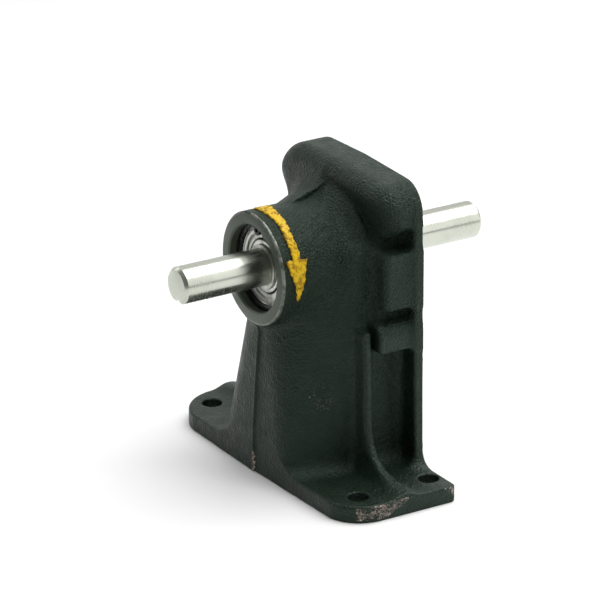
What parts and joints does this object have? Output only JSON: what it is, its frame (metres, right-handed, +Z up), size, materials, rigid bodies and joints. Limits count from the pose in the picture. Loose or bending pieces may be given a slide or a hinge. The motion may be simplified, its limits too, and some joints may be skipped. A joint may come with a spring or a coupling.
{
  "type": "shaft bearing pedestal",
  "caption": "Cast-iron pedestal with a drilled foot and a flat rear flange, carrying a plain steel shaft in two shielded ball bearings.",
  "frame": {"origin": "under the middle of the shaft, on the surface the foot stands on", "axes": "+X across the foot, +Y along the shaft from its front end (with the round boss) to its rear end, +Z up"},
  "size_m": [0.177, 0.184, 0.165],
  "materials": {
    "casting_paint": "semi-gloss black enamel over sand-cast iron, chipped at the edges",
    "arrow_paint": "hand-brushed yellow paint",
    "machined_iron": "turned, lightly oiled",
    "ground_steel": "ground, fine marks around the shaft",
    "bearing_steel": "polished bearing steel",
    "shield_steel": "pressed sheet steel",
    "spring_steel": "blackened spring steel"
  },
  "bodies": {
    "frame": {"pedestal_casting": "casting_paint", "front_bearing_outer_ring": "bearing_steel", "front_bearing_front_shield": "shield_steel", "front_bearing_rear_shield": "shield_steel", "front_bore_ring": "spring_steel", "rear_bearing_outer_ring": "bearing_steel", "rear_bearing_front_shield": "shield_steel", "rear_bearing_rear_shield": "shield_steel", "rear_bore_ring": "spring_steel", "preload_wave_spring": "spring_steel"},
    "rotor": {"drive_shaft": "ground_steel", "front_bearing_inner_ring": "bearing_steel", "front_shaft_ring": "spring_steel", "rear_bearing_inner_ring": "bearing_steel", "rear_shaft_ring": "spring_steel"},
    "front_cage": {"front_bearing_cage": "shield_steel", "front_bearing_ball_1": "bearing_steel", "front_bearing_ball_2": "bearing_steel", "front_bearing_ball_3": "bearing_steel", "front_bearing_ball_4": "bearing_steel", "front_bearing_ball_5": "bearing_steel", "front_bearing_ball_6": "bearing_steel", "front_bearing_ball_7": "bearing_steel", "front_bearing_ball_8": "bearing_steel"},
    "rear_cage": {"rear_bearing_cage": "shield_steel", "rear_bearing_ball_1": "bearing_steel", "rear_bearing_ball_2": "bearing_steel", "rear_bearing_ball_3": "bearing_steel", "rear_bearing_ball_4": "bearing_steel", "rear_bearing_ball_5": "bearing_steel", "rear_bearing_ball_6": "bearing_steel", "rear_bearing_ball_7": "bearing_steel", "rear_bearing_ball_8": "bearing_steel"}
  },
  "joints": [
    {"name": "shaft_spin", "type": "hinge", "parent": "frame", "child": "rotor", "pos_m": [0, 0, 0.115], "axis": [0, 1, 0], "continuous": true},
    {"name": "front_cage_roll", "type": "hinge", "parent": "frame", "child": "front_cage", "pos_m": [0, -0.0321, 0.115], "axis": [0, 1, 0], "continuous": true},
    {"name": "rear_cage_roll", "type": "hinge", "parent": "frame", "child": "rear_cage", "pos_m": [0, 0.0101, 0.115], "axis": [0, 1, 0], "continuous": true}
  ],
  "couplings": [
    {"joint": "front_cage_roll", "follows": "shaft_spin", "ratio": 0.3815},
    {"joint": "rear_cage_roll", "follows": "shaft_spin", "ratio": 0.3815}
  ]
}
